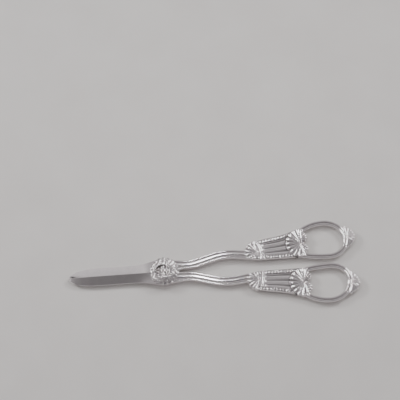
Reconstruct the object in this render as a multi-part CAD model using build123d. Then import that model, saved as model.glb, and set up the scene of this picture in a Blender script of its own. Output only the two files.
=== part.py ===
from build123d import *
import os
from math import atan2, cos, degrees, pi, radians, sin, tan

# Grape shears of silver. The shears lie closed on their back, with the blades towards -X and the handles
# towards +X. The pivot's axis is Z, and Z is zero at the flat back of the rear lap plate.
# The back half has the narrow cutting blade and the handle on +Y. The front half has the holding blade,
# which is L-shaped in section, the handle on -Y, and the lion mask over the pivot.
# Each half is described with its handle on +Y, then turned over about the joint line for the front half.

# Pivot and lap joint, in millimetres
plate_radius = 8.3
plate_thickness = 2.4
lap_gap = 0.06
shoulder_gap = 0.3
edge_break = 0.25
screw_radius = 1.8
screw_clearance = 0.05
head_radius = 3.3
head_height = 1.2
head_recess = 0.1
thread_depth = 1.7
slot_width = 0.7
slot_depth = 0.5

# Blades
blade_length = 58.8
blade_half_width = 5.5
ridge_height = 2.1
lip_depth = 1.6
grip_gap = 0.25
side_inset = 0.2
strip_width = 2.2
strip_thickness = 0.4

# Shanks
waist_x = 13.0
waist_offset = 3.75
shank_width = 5.4
shank_thickness = 4.4
shank_length = 41.0
shank_crest = 9.2
neck_offset = 7.1

# Panels
panel_length = 33.0
panel_gap = 3.7
panel_width = 18.8
panel_thickness = 3.0
border_width = 2.3
border_rise = 0.35
flute_depth = 0.45
flute_count = 3
notch_pitch = 1.9
notch_radius = 0.42

# Finger bows
bow_length = 27.0
bow_low = 3.05
bow_reach = 24.9
wire_width = 3.0
wire_thickness = 3.2

# Shells
shell_top = 2.4
neck_shell_radius = 7.6
bow_shell_radius = 9.3
end_shell_radius = 5.0
collar_width = 1.3
scroll_sides = 16

# Lion mask
mask_radius = 8.4
mask_height = 3.88
lock_count = 16
tuft_share = 1.07
dome_steps = 4
dome_sides = 12

overrun = 1.0

# Places that follow from the sizes
joint_z = plate_thickness
half_gap = lap_gap / 2
shoulder_radius = plate_radius + shoulder_gap
neck_x = waist_x + shank_length
bow_x = neck_x + panel_length
bow_end_x = bow_x + bow_length
tall = shank_thickness + panel_thickness

# Upper right corners of a shank's and a bow wire's section, as shares of half the width and thickness
reed_corner_shares = [
    (0.22, 1.00),
    (0.46, 0.84),
    (0.55, 0.80),
    (0.66, 0.88),
    (0.84, 0.84),
    (0.98, 0.58),
    (1.00, 0.40),
]
wire_corner_shares = [(0.00, 0.70), (0.30, 0.96), (0.72, 0.94), (1.00, 0.50)]

# Blade stations: length share from pivot to tip, half-width share, ridge share, edge share, lip share
blade_station_shares = [
    (1.000, 0.09, 0.42, 0.22, 0.30),
    (0.983, 0.32, 0.52, 0.25, 0.45),
    (0.955, 0.53, 0.64, 0.28, 0.70),
    (0.900, 0.78, 0.80, 0.29, 0.95),
    (0.820, 0.93, 0.92, 0.30, 1.00),
    (0.700, 1.00, 0.98, 0.31, 1.00),
    (0.520, 1.00, 1.00, 0.32, 1.00),
    (0.360, 1.00, 1.02, 0.33, 1.00),
    (0.240, 1.07, 1.04, 0.50, 1.00),
    (0.155, 1.22, 1.07, 0.86, 1.00),
    (0.095, 1.35, 1.10, 1.05, 1.00),
    (0.035, 1.46, 1.12, 1.10, 1.00),
]
lip_width_share = 0.24

# Outer side of a panel: length share from the neck to the bow, width share from the inner side
panel_side_shares = [
    (0.00, 0.450),
    (0.09, 0.595),
    (0.18, 0.655),
    (0.33, 0.705),
    (0.49, 0.745),
    (0.64, 0.803),
    (0.79, 0.872),
    (0.94, 0.960),
    (1.00, 0.995),
]

# Where the flutes and the notched bands begin and end along the panel
flute_shares = (0.17, 0.76)

# Bow wire's centre line: length share from the panel's end, share of the way from low side to high side
bow_path_shares = [
    (-0.037, 0.794),
    (0.500, 1.000),
    (0.778, 0.908),
    (0.996, 0.492),
    (0.896, 0.153),
    (0.592, 0.000),
    (-0.037, 0.080),
]

# A shell's rim between two ribs: the valley, and the shoulder between it and a rib's crest
valley_reach_share = 0.91
valley_height_share = 0.10
shoulder_place_share = 0.55
shoulder_reach_share = 0.98
shoulder_height_share = 0.75

# Rings of the mane: radius share, height shares at the rim and in the middle, and turn as a share of one lock
mane_ring_shares = [(1.00, 0.12, 0.46, 0.0), (0.80, 0.30, 0.62, 0.5)]
lock_fall_share = 0.70

# Bosses of the face: x, y, half-length and half-width as shares of the mask's radius, and the shares of its
# height where the boss begins and ends. All but those on the middle line are there twice.
face_boss_shares = [
    (-0.06, 0.00, 0.53, 0.45, 0.34, 0.82),
    (0.17, 0.16, 0.10, 0.17, 0.66, 0.92),
    (-0.34, 0.11, 0.16, 0.14, 0.66, 1.00),
    (-0.53, 0.00, 0.10, 0.16, 0.50, 0.84),
    (-0.12, 0.28, 0.19, 0.14, 0.52, 0.84),
    (0.32, 0.42, 0.14, 0.11, 0.40, 0.76),
]
bridge_shares = [(0.22, 0.055, 0.86), (-0.36, 0.090, 0.98)]
eye_place_shares = (0.02, 0.165)

# Shell ribs: direction in degrees, reach as a share of the shell's radius, crest at the rim as a share
neck_rib_shares = [(angle, 1.0, 0.80) for angle in (106, 129, 152, 175, 198, 221)]
bow_rib_shares = [(angle, 1.0, 0.86) for angle in (99, 119, 139, 159, 180, 201, 221, 241, 261)]
end_rib_shares = [
    (-97, 1.52, 0.90),
    (-72, 1.22, 0.72),
    (-47, 1.04, 0.55),
    (-21, 0.98, 0.50),
    (5, 0.97, 0.50),
    (31, 0.98, 0.50),
    (57, 1.02, 0.55),
    (82, 1.14, 0.72),
    (106, 1.46, 0.90),
]


def lift(z):
    """The plane parallel to the ground at height z."""
    return Plane(origin=(0, 0, z))


def closed_face(*edges):
    """The flat face inside a closed run of edges."""
    return make_face(Curve() + list(edges))


def slab(face, low, high):
    """A flat face of the ground plane made solid between two heights."""
    return Pos(0, 0, low) * extrude(face, high - low)


def disc(radius, low, high):
    """A round plate on the pivot's axis."""
    return slab(Circle(radius), low, high)


def half_space(x, width, side):
    """A block that fills everything on one side of the plane at x."""
    return Pos(x + side * width / 2, 0, joint_z) * Box(width, 2 * width, 2 * tall)


def flip(part):
    """A back-half piece turned over about the joint line into its place on the front half."""
    return Pos(0, 0, joint_z) * Rot(180, 0, 0) * Pos(0, 0, -joint_z) * part


def across(part):
    """A piece mirrored to the other handle."""
    return mirror(part, about=Plane.XZ)


def reverse(part):
    """A piece mirrored through the joint plane to the shears' other face."""
    return mirror(part, about=lift(joint_z))


def root_face():
    """Outline of a shank's root, from inside the lap plate to the waist."""
    outer = waist_offset + shank_width / 2
    inner = waist_offset - shank_width / 2
    top = Spline(
        (0, plate_radius),
        (0.33 * waist_x, 0.9 * plate_radius),
        (waist_x, outer),
        tangents=[(1, 0), (1, 0)],
    )
    end = Line((waist_x, outer), (waist_x, inner))
    under = Line((waist_x, inner), (0.55 * waist_x, inner * 0.4))
    inside = Line((0.55 * waist_x, inner * 0.4), (0, 0))
    back = Line((0, 0), (0, plate_radius))
    return closed_face(top, end, under, inside, back)


def lap_half():
    """The back half's lap plate with the shank's root, which is at full thickness outside the other plate."""
    half_thick = shank_thickness / 2
    root = slab(root_face(), joint_z - half_thick, joint_z + half_thick)
    outer_edges = [e for e in root.edges() if e.length > waist_x * 0.9 and e.center().Y > plate_radius / 2]
    root = chamfer(outer_edges, shank_thickness * 0.14)
    room = disc(shoulder_radius, joint_z - half_gap, joint_z + tall)
    plate = chamfer(disc(plate_radius, 0, joint_z - half_gap).edges().group_by(Axis.Z)[0], edge_break)
    return plate + (root - room)


def blade_section(station, outline):
    """A cross-section of a blade at one station, from corners given as across and up from the lap gap."""
    length_share = station[0]
    plane = Plane(origin=(-length_share * blade_length, 0, joint_z), x_dir=(0, 1, 0), z_dir=(1, 0, 0))
    return plane * make_face(Polyline(*outline, close=True))


def holding_section(station):
    """L-shaped section of the front blade: a roof above the joint plane and a lip down its +Y side."""
    _, width_share, ridge_share, edge_share, lip_share = station
    width = width_share * blade_half_width
    lip_inner = width * (1 - lip_width_share)
    edge = edge_share * ridge_height
    corners = [
        (-width, half_gap),
        (lip_inner, half_gap),
        (lip_inner, -lip_share * lip_depth),
        (width, -lip_share * lip_depth),
        (width, edge),
        (0, ridge_share * ridge_height),
        (-width, edge),
    ]
    return blade_section(station, corners)


def cutting_section(station):
    """Section of the back blade, which lies under the front blade and beside its lip."""
    _, width_share, ridge_share, edge_share, _ = station
    width = width_share * blade_half_width
    lead = width * (1 - lip_width_share) - grip_gap
    trail = -width * (1 - side_inset / blade_half_width)
    ridge = -ridge_share * ridge_height * 0.85
    edge = -edge_share * ridge_height
    corners = [
        (trail, -half_gap),
        (trail, edge),
        ((trail + lead) / 2, ridge),
        (lead, edge),
        (lead, -half_gap),
    ]
    return blade_section(station, corners)


def strip_room(low, high, side):
    """The space that a blade's steel strip is cut from, along one edge."""
    inner = blade_half_width * (1 - lip_width_share) - grip_gap - strip_width
    if side < 0:
        inner = blade_half_width - strip_width
    start = blade_length * 0.93
    length = start - waist_x
    middle = (inner + blade_half_width) / 2
    width = blade_half_width - inner + overrun
    room = Box(length, width, high - low)
    return Pos(-start + length / 2, side * (middle + overrun / 2), (low + high) / 2) * room


def screw_solid(grow):
    """The pivot screw's head and shank, grown all round by a running clearance."""
    head = Solid.make_cone(head_radius + grow, screw_radius + grow, head_height, lift(head_recess))
    top = joint_z + thread_depth
    return Part() + head + disc(screw_radius + grow, head_recess, top)


def pivot_screw():
    """Countersunk screw with a slot across its head."""
    slot = Pos(0, 0, head_recess) * Box(3 * head_radius, slot_width, 2 * slot_depth)
    return screw_solid(0) - slot


def back_blades():
    """The cutting blade with its lap plate and shank root, and its steel strip."""
    blade = loft([cutting_section(s) for s in blade_station_shares[1:]])
    hole = screw_solid(screw_clearance) + disc(head_radius + screw_clearance, -overrun, head_recess)
    whole = blade + lap_half() - hole
    strip = whole & strip_room(joint_z - half_gap - strip_thickness, joint_z, 1)
    return whole - strip, strip


def front_blades():
    """The holding blade with its lap plate and shank root, and its steel strip."""
    blade = loft([holding_section(s) for s in blade_station_shares])
    lip_room = disc(shoulder_radius, -overrun, joint_z + half_gap)
    whole = (blade - lip_room) + flip(lap_half()) - screw_solid(0)
    strip = whole & strip_room(joint_z, joint_z + half_gap + strip_thickness, -1)
    return whole - strip, strip


def bend_radius(a, b, c, run_share):
    """Radius of the arc that rounds corner b and takes a share of its shorter run."""
    turn = abs(atan2(c[1] - b[1], c[0] - b[0]) - atan2(b[1] - a[1], b[0] - a[0]))
    run = min(Vector(*a).sub(Vector(*b)).length, Vector(*b).sub(Vector(*c)).length)
    return run_share * run / tan(turn / 2)


def along_shank(section):
    """A section swept along the shank's two bends and cut square at the panel."""
    start = (waist_x, waist_offset)
    first = (waist_x + 0.10 * shank_length, waist_offset)
    crest = (waist_x + 0.60 * shank_length, shank_crest)
    fall = (neck_offset - shank_crest) / (neck_x - crest[0])
    end = (neck_x + shank_width, neck_offset + fall * shank_width)
    radii = [bend_radius(start, first, crest, 0.9), bend_radius(first, crest, end, 0.35)]
    path = Pos(0, 0, joint_z) * FilletPolyline(start, first, crest, end, radius=radii)
    plane = Plane(origin=(waist_x, waist_offset, joint_z), x_dir=(0, 1, 0), z_dir=(1, 0, 0))
    bar = sweep(plane * section, path=path)
    return bar - half_space(neck_x, panel_length, 1)


def shank():
    """Reeded shank."""
    return along_shank(section_face(reed_corner_shares, shank_width, shank_thickness))


def shank_channel():
    """The square channel in which a neck shell is seated over the shank's end."""
    room = slab(Pos(neck_x, 0) * Rectangle(0.5 * shank_length, panel_width * 2), -tall, 2 * tall)
    return room & along_shank(Rectangle(shank_width, shank_thickness))


def panel_side(shift):
    """Points along the panel's outer side, moved in by a distance."""
    return [
        (neck_x + a * panel_length, panel_gap + b * panel_width - shift) for a, b in panel_side_shares
    ]


def panel_face(low_shift, high_shift):
    """Outline between the panel's two sides, each moved in by a distance."""
    low = panel_gap + low_shift
    points = panel_side(high_shift)
    side = Spline(*points)
    first = points[0]
    last = points[-1]
    right = Line(last, (last[0], low))
    under = Line((last[0], low), (first[0], low))
    left = Line((first[0], low), first)
    return closed_face(side, right, under, left)


def panel_blank():
    """The panel without its relief."""
    half_thick = panel_thickness / 2
    return slab(panel_face(0, 0), joint_z - half_thick, joint_z + half_thick)


def border_bands():
    """The raised bands along both sides of a panel's face."""
    top = joint_z + panel_thickness / 2 + border_rise
    both = slab(panel_face(0, 0), joint_z, top)
    field = slab(panel_face(border_width, border_width), -overrun, top + overrun)
    return both - field


def flute(index):
    """A hollow flute that widens towards the bow, as the cone that is cut away."""
    surface = joint_z + panel_thickness / 2
    ends = []
    for share in flute_shares:
        x = neck_x + share * panel_length
        outer = panel_gap + panel_width * interpolate(panel_side_shares, share) - border_width
        inner = panel_gap + border_width
        chord = (outer - inner) / flute_count
        radius = (chord * chord / 4 + flute_depth * flute_depth) / (2 * flute_depth)
        centre = Vector(x, inner + (index + 0.5) * chord, surface + radius - flute_depth)
        ends.append((centre, radius * 0.93))
    return cone_between(ends[0][0], ends[1][0], ends[0][1], ends[1][1])


def interpolate(rows, share):
    """The second value of a table of pairs, between its rows."""
    for (a, low), (b, high) in zip(rows, rows[1:]):
        if a <= share <= b:
            return low + (high - low) * (share - a) / (b - a)
    return rows[-1][1]


def cone_between(start, end, start_radius, end_radius):
    """A cone between two points."""
    direction = end - start
    plane = Plane(origin=start, z_dir=direction)
    return Solid.make_cone(start_radius, end_radius, direction.length, plane)


def panel_body():
    """The panel with the bands of both its faces, before the flutes are cut."""
    bands = border_bands()
    return panel_blank() + bands + reverse(bands)


def notches():
    """Grooves across the bands of a panel's face, square to each side of the panel."""
    surface = joint_z + panel_thickness / 2 + border_rise
    first = neck_x + flute_shares[0] * panel_length
    count = int((flute_shares[1] - flute_shares[0]) * panel_length / notch_pitch)
    triangle = Plane.XZ * Rot(0, 0, 30) * RegularPolygon(notch_radius, 3)
    groove = extrude(triangle, border_width * 0.7, both=True)
    cuts = []
    for index in range(count):
        x = first + (index + 0.5) * notch_pitch
        share = (x - neck_x) / panel_length
        cuts.append(Pos(x, panel_gap + border_width / 2, surface) * groove)
        rise = interpolate(panel_side_shares, share + 0.05) - interpolate(panel_side_shares, share - 0.05)
        slope = degrees(atan2(rise * panel_width, 0.1 * panel_length))
        y = panel_gap + panel_width * interpolate(panel_side_shares, share) - border_width / 2
        cuts.append(Pos(x, y, surface) * Rot(0, 0, slope) * groove)
    return cuts


def panel():
    """Tapering panel with flutes between two notched bands, alike on both faces."""
    flutes = [flute(index) for index in range(flute_count)]
    bands = border_bands() - notches()
    field = panel_blank() - flutes - [reverse(cut) for cut in flutes]
    return field + bands + reverse(bands)


def bow_point(shares):
    """A point of the bow wire's centre line."""
    return (bow_x + shares[0] * bow_length, bow_low + shares[1] * (bow_reach - bow_low))


def bow_path():
    """Arcs that run on from each other round the finger hole, from the panel's outer side to its inner."""
    points = [bow_point(row) for row in bow_path_shares]
    rise = 2 * atan2(points[1][1] - points[0][1], points[1][0] - points[0][0])
    heading = Vector(cos(rise), sin(rise))
    arcs = []
    for start, end in zip(points, points[1:]):
        arc = TangentArc(start, end, tangent=heading)
        heading = arc % 1
        arcs.append(arc)
    return Pos(0, 0, joint_z) * Wire([edge for arc in arcs for edge in arc.edges()])


def section_face(corner_shares, width, thickness):
    """A bar's section from the corners of its upper half, alike below and the same at both sides."""
    upper = [(a * width / 2, b * thickness / 2) for a, b in corner_shares]
    corners = [(-x, z) for x, z in reversed(upper)] + upper
    corners += [(x, -z) for x, z in reversed(corners)]
    tidy = [corner for index, corner in enumerate(corners) if corner != corners[index - 1]]
    return make_face(Polyline(*tidy, close=True))


def along_bow(section):
    """A section swept round the finger hole and cut square where it meets the panel."""
    path = bow_path()
    plane = Plane(origin=path @ 0, x_dir=(path % 0).cross(Vector(0, 0, 1)), z_dir=path % 0)
    ring = sweep(plane * section, path=path)
    return ring - half_space(bow_x, panel_length, -1)


def bow():
    """Finger bow of wire with two reeds."""
    return along_bow(section_face(wire_corner_shares, wire_width, wire_thickness))


def wire_channel():
    """The square channel in which a shell is seated over the bow's wire."""
    return along_bow(Rectangle(wire_width, wire_thickness))


def fan_rim(ribs):
    """Points along a fan's rim: direction in degrees, reach share and height share, with valleys between."""
    half_step = (ribs[-1][0] - ribs[0][0]) / (2 * (len(ribs) - 1))
    rim = []
    for before, (angle, reach, height) in zip([ribs[0], *ribs], ribs):
        valley_reach = valley_reach_share * (before[1] + reach) / 2
        rim.append((angle - half_step, valley_reach, height * valley_height_share))
        for side in (-1, 0, 1):
            fall = abs(side)
            reach_share = reach * (1 - fall * (1 - shoulder_reach_share))
            height_share = height * (1 - fall * (1 - shoulder_height_share))
            rim.append((angle + side * half_step * shoulder_place_share, reach_share, height_share))
    last = ribs[-1]
    rim.append((last[0] + half_step, valley_reach_share * last[1], last[2] * valley_height_share))
    return rim


def flat_sided(faces_points):
    """A solid from the corner points of its flat faces."""
    return Solid(Shell([Face(Wire.make_polygon(points, close=True)) for points in faces_points]))


def fan_shell(hinge, ribs, radius, base, crest, closed=False):
    """A ribbed shell: narrow facets that fall from the hinge to a scalloped rim, over a flat underside.
    A closed one goes right round its hinge."""
    apex = Vector(hinge[0], hinge[1], joint_z + crest)
    foot = Vector(hinge[0], hinge[1], joint_z)
    tops = []
    lows = []
    for angle, reach_share, height_share in fan_rim(ribs)[: -1 if closed else None]:
        out = Vector(cos(radians(angle)), sin(radians(angle))) * radius * reach_share
        lows.append(foot + out)
        tops.append(foot + out + Vector(0, 0, base + (crest - base) * height_share))
    faces = [[foot] + lows, [foot, apex, tops[0], lows[0]], [foot, apex, tops[-1], lows[-1]]]
    if closed:
        faces = [lows]
        tops.append(tops[0])
        lows.append(lows[0])
    for index in range(len(tops) - 1):
        faces.append([apex, tops[index], tops[index + 1]])
        faces.append([lows[index], lows[index + 1], tops[index + 1], tops[index]])
    return flat_sided(faces)


def neck_shell():
    """Small shell that covers the joint of shank and panel, with a curved collar."""
    hinge = (neck_x + 0.52 * neck_shell_radius, neck_offset + 0.183 * neck_shell_radius)
    base = panel_thickness / 2
    shell = fan_shell(hinge, neck_rib_shares, neck_shell_radius, base + border_rise, shell_top)
    arc = ThreePointArc(
        (hinge[0] - 0.064 * neck_shell_radius, hinge[1] + 0.965 * neck_shell_radius),
        (hinge[0] + 0.305 * neck_shell_radius, hinge[1] + 0.260 * neck_shell_radius),
        (hinge[0] + 0.348 * neck_shell_radius, panel_gap),
    )
    collar = slab(trace(arc, collar_width), joint_z, joint_z + base + border_rise * 1.6)
    heart_face = Pos(hinge[0], hinge[1]) * RegularPolygon(neck_shell_radius * 0.3, scroll_sides)
    heart = slab(heart_face, joint_z, joint_z + base + border_rise)
    side = slab(side_room(), -tall, 2 * tall)
    return ((shell + collar + heart) & side) - panel_body() - shank_channel()


def side_room():
    """Everything outside the handle's straight inner side."""
    width = panel_width * 2
    length = panel_length + bow_length
    return Pos(bow_x, panel_gap + width / 2) * Rectangle(2 * length, width)


def bow_shell():
    """Large shell over the panel's end and the bow's roots, with a scroll at each corner."""
    hinge = (bow_x - 0.16 * bow_shell_radius, panel_gap + 0.474 * panel_width)
    base = panel_thickness / 2
    shell = fan_shell(hinge, bow_rib_shares, bow_shell_radius, base + border_rise, shell_top)
    scroll_radius = bow_shell_radius * 0.35
    heart = Pos(hinge[0], hinge[1]) * RegularPolygon(scroll_radius * 0.8, scroll_sides)
    scrolls = slab(heart, joint_z, joint_z + base + border_rise)
    for share in (-0.463, 0.487):
        place = Pos(hinge[0] + 0.231 * bow_shell_radius, hinge[1] + share * bow_shell_radius, joint_z)
        disc_face = RegularPolygon(scroll_radius, scroll_sides)
        scrolls += place * slab(disc_face, 0, base)
        scrolls += place * lift(base) * extrude(disc_face, base_rise(), taper=40)
        eye = RegularPolygon(scroll_radius * 0.4, scroll_sides // 2)
        scrolls += place * lift(base + base_rise()) * extrude(eye, base_rise(), taper=20)
    side = slab(side_room(), -tall, 2 * tall)
    return ((shell + scrolls) & side) - panel_body() - wire_channel()


def base_rise():
    """Height of one step of a shell's scroll, of which two reach the shell's top."""
    return (shell_top - panel_thickness / 2) / 2


def end_shell():
    """Shell at the bow's far end, whose ribs run from a boss over the wire out to the rim."""
    hinge = (bow_end_x + wire_width * 0.4, bow_low + (bow_reach - bow_low) * 0.547)
    shell = fan_shell(hinge, end_rib_shares, end_shell_radius, wire_thickness * 0.25, shell_top)
    boss = Pos(hinge[0], hinge[1]) * RegularPolygon(end_shell_radius * 0.22, scroll_sides // 2)
    return shell + slab(boss, joint_z, joint_z + shell_top) - wire_channel()


def lion_mask():
    """Lion's head boss: two rings of locks round a face with brows, nose, cheeks, chin, eyes and ears."""
    base = 2 * plate_thickness
    head = Pos(0, 0, base) * nose_bridge()
    for radius_share, low_share, top_share, turn_share in mane_ring_shares:
        locks = mane(mask_radius * radius_share, mask_height * low_share, mask_height * top_share)
        head += Rot(0, 0, turn_share * 360 / lock_count) * locks
    for x_share, y_share, long_share, wide_share, low_share, top_share in face_boss_shares:
        height = mask_height * (top_share - low_share)
        boss = dome(mask_radius * long_share, mask_radius * wide_share, height)
        for side in (-1, 1) if y_share else (1,):
            place = Pos(mask_radius * x_share, side * mask_radius * y_share, base + mask_height * low_share)
            head += place * boss
    return head - eye_hollows(base)


def mane(radius, low, top):
    """One ring of locks, with a longer lock at the crown."""
    directions = [index * 360 / lock_count for index in range(lock_count)]
    ribs = [(angle, 1 if angle else tuft_share, lock_fall_share) for angle in directions]
    return Pos(0, 0, 2 * plate_thickness - joint_z) * fan_shell((0, 0), ribs, radius, low, top, closed=True)


def nose_bridge():
    """The bridge of the nose, which widens and rises from between the brows to the nostrils."""
    ends = []
    for x_share, half_width_share, height_share in bridge_shares:
        x = mask_radius * x_share
        y = mask_radius * half_width_share
        z = mask_height * height_share
        ends.append([Vector(x, -y, 0), Vector(x, y, 0), Vector(x, y, z), Vector(x, -y, z)])
    start, end = ends
    sides = [[start[k], start[k - 1], end[k - 1], end[k]] for k in range(4)]
    return flat_sided([start, end, *sides])


def eye_hollows(base):
    """What is cut out round each eye, leaving the eyeball."""
    socket = RegularPolygon(mask_radius * 0.085, dome_sides) - RegularPolygon(mask_radius * 0.045, dome_sides)
    hollow = slab(socket, mask_height * 0.68, mask_height)
    x_share, y_share = eye_place_shares
    return [Pos(mask_radius * x_share, side * mask_radius * y_share, base) * hollow for side in (-1, 1)]


def dome(long_radius, wide_radius, height):
    """A boss of flat facets on the ground plane, whose side follows an oval's curve to a small flat."""
    around = [2 * pi * (index + 0.5) / dome_sides for index in range(dome_sides)]
    last_turn = pi / 2 * (dome_steps - 1) / dome_steps
    rings = []
    for step in range(dome_steps):
        turn = pi / 2 * step / dome_steps
        x_reach = long_radius * cos(turn)
        y_reach = wide_radius * cos(turn)
        z = height * sin(turn) / sin(last_turn)
        rings.append([Vector(x_reach * cos(angle), y_reach * sin(angle), z) for angle in around])
    faces = [rings[0], rings[-1]]
    for low, high in zip(rings, rings[1:]):
        faces += [[low[k - 1], low[k], high[k], high[k - 1]] for k in range(dome_sides)]
    return flat_sided(faces)


def handle_parts():
    """The back half's handle pieces by name, with the face's shells; the reverse's are mirrored."""
    shells = {"neck_shell": neck_shell(), "bow_shell": bow_shell(), "end_shell": end_shell()}
    parts = {"shank": shank(), "panel": panel(), "bow": bow()}
    for name, solid in shells.items():
        parts[name + "_face"] = solid
        parts[name + "_reverse"] = reverse(solid)
    return parts


def all_parts():
    """Every node by name."""
    back_blade, back_strip = back_blades()
    front_blade, front_strip = front_blades()
    nodes = {
        "back_blade": back_blade,
        "back_cutting_plate": back_strip,
        "front_blade": front_blade,
        "front_cutting_plate": front_strip,
        "lion_mask": lion_mask(),
        "pivot_screw": pivot_screw(),
    }
    for name, solid in handle_parts().items():
        nodes["back_" + name] = solid
        nodes["front_" + name] = across(solid)
    return nodes


os.makedirs("parts", exist_ok=True)
for name, solid in all_parts().items():
    export_step(solid, "parts/" + name + ".step")
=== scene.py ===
import math

import bpy
import numpy as np
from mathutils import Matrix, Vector


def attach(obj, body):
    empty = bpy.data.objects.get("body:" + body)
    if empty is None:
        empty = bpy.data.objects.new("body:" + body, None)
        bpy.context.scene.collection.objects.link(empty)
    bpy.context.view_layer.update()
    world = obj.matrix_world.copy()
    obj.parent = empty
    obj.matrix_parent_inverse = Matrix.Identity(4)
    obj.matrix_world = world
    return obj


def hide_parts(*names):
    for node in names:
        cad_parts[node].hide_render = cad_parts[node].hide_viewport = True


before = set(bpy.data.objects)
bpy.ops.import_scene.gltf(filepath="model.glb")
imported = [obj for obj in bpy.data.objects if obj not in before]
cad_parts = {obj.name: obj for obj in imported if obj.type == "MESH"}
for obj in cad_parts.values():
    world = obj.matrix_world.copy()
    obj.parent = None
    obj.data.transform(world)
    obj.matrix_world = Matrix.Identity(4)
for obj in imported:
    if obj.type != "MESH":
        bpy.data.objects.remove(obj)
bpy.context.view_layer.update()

# Lengths are in millimetres in the frame of the solids, and new_piece() turns them into metres.
# A form is a tuple of points, faces and hollows: how deep each point lies in the relief, from 0 to 1.
# The hollows darken the silver: painted shade in creases and under parts, with tarnish.
MM = 0.001
joint_z = 2.4
crease_angle = math.radians(42)
blade_crease_angle = math.radians(8)
path_step = 0.35

# Lap joint
plate_radius = 8.3
plate_edge_break = 0.25
shoulder_radius = 8.6
half_gap = 0.03
plate_top = joint_z - half_gap
head_seat_radius = 3.35
head_seat_depth = 1.3
screw_hole_radius = 1.85
screw_radius = 1.8

# Blades
blade_length = 58.8
blade_half_width = 5.5
ridge_height = 2.1
lip_depth = 1.6
lip_width_share = 0.24
lip_end = 6.9
grip_gap = 0.25
side_inset = 0.2
blade_bevel = 0.1
facet_hollow = 0.07
strip_height = 0.4
strip_width = 2.2
strip_range = (12.99, 54.69)
seat_clearance = 0.01
tip_fade = 2.6
holding_tip_share = 1.0
cutting_tip_share = 0.983
cutting_ridge_share = 0.85

# A blade's sections: length share from pivot to tip, then shares of half-width, ridge and edge
blade_rows = [
    (0.000, 1.47, 1.12, 1.10),
    (0.035, 1.46, 1.12, 1.10),
    (0.095, 1.35, 1.10, 1.05),
    (0.155, 1.22, 1.07, 0.86),
    (0.240, 1.07, 1.04, 0.50),
    (0.360, 1.00, 1.02, 0.33),
    (0.520, 1.00, 1.00, 0.32),
    (0.700, 1.00, 0.98, 0.31),
    (0.820, 0.93, 0.92, 0.30),
    (0.900, 0.78, 0.80, 0.29),
    (0.955, 0.53, 0.64, 0.28),
    (0.983, 0.32, 0.52, 0.25),
    (1.000, 0.09, 0.42, 0.22),
]

# Shanks
waist_x = 13.0
shank_corners = [(waist_x, 3.75), (17.1, 3.75), (37.6, 9.2), (57.0, 6.72)]
shank_radii = (0, 28.0, 38.0, 0)
shank_width = 5.4
shank_thickness = 4.4
shank_crowns = [(0, 0.57, 0.42), (0.765, 0.235, 0.30), (-0.765, 0.235, 0.30)]
shank_floor_share = 0.58
shank_groove_share = 0.55
root_outer_rows = [(0, 8.3), (4.3, 7.47), (waist_x, 6.45)]
root_inner_rows = [(0, 0.2), (7.15, 0.42), (waist_x, 1.05)]
root_in_plate = 0.7
root_past_shoulder = 0.6

# Panels
neck_x = 54.0
bow_x = 87.0
panel_length = bow_x - neck_x
panel_gap = 3.7
neck_draw = 0.65
panel_width = 18.8
panel_half_thickness = 1.5
border_width = 2.3
border_rise = 0.35
leaf_pitch = 1.9
flute_depth = 0.5
flute_count = 3
field_rise = 0.06
band_rise = 0.02
height_under_shell = 1.15
panel_edge_round = 0.22

# Outer side of a panel: length share from the neck to the bow, and share of the panel's width
panel_side_shares = [
    (0.00, 0.450), (0.09, 0.595), (0.18, 0.655),
    (0.33, 0.705), (0.49, 0.745), (0.64, 0.803),
    (0.79, 0.872), (0.94, 0.960), (1.00, 0.995),
]

# Finger bows
bow_points = [
    (86.0, 20.4), (100.5, 24.9), (108.0, 22.9), (113.9, 13.8),
    (111.2, 6.4), (103.0, 3.05), (86.0, 4.8),
]
wire_width = 3.0
wire_thickness = 3.2
wire_crowns = [(0.5, 0.56, 0.47), (-0.5, 0.56, 0.47)]
wire_floor_share = 0.52

# Shells: ribs give direction in degrees and reach as a share of the shell's radius
shell_top = 2.38
shell_proud = 0.03
neck_hinge = (57.96, 8.49)
neck_shell_radius = 7.6
neck_ribs = [(angle, 1.0) for angle in (106, 127, 148, 169, 190, 211, 232, 254)]
neck_footprint = (95, 232)
neck_knob_radius = 2.1
collar_points = [(57.5, 15.6), (60.3, 10.5), (60.6, 3.85)]
collar_width = 1.6
collar_height = 2.15
bow_hinge = (85.5, 12.6)
bow_shell_radius = 9.3
bow_ribs = [(angle, 1.0) for angle in (79, 99, 119, 139, 159, 180, 201, 221, 241, 261, 281)]
bow_footprint = (92, 268)
bow_knob_place = (86.9, 12.72)
bow_knob_radius = 1.55
lobe_hinge_x = 85.6
lobe_hinge_out = 1.5
lobe_radius = 5.8
lobe_ribs = [(1, 0.66), (21, 0.87), (40, 0.98), (59, 1.0), (78, 0.98)]
end_hinge = (115.2, 15.0)
end_shell_radius = 5.0
end_boss_radius = 1.15
end_ribs = [
    (-97, 1.50), (-72, 1.20), (-47, 1.03),
    (-21, 0.97), (5, 0.96), (31, 0.97),
    (57, 1.01), (82, 1.12), (106, 1.44),
]

# Lion mask
mask_base = 4.8
mask_top = 3.85
face_centre = (-0.9, 0)
face_half_length = 4.6
face_half_width = 3.75
ear_place = (2.35, 3.35)
ear_size = (1.4, 1.15)
ear_room = 1.3
mane_bed_reach = 7.7
mane_bed_height = 2.1
# Even darkening of the bed under the locks: painted shade, with tarnish.
mane_bed_shade_and_tarnish = 0.7

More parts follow.
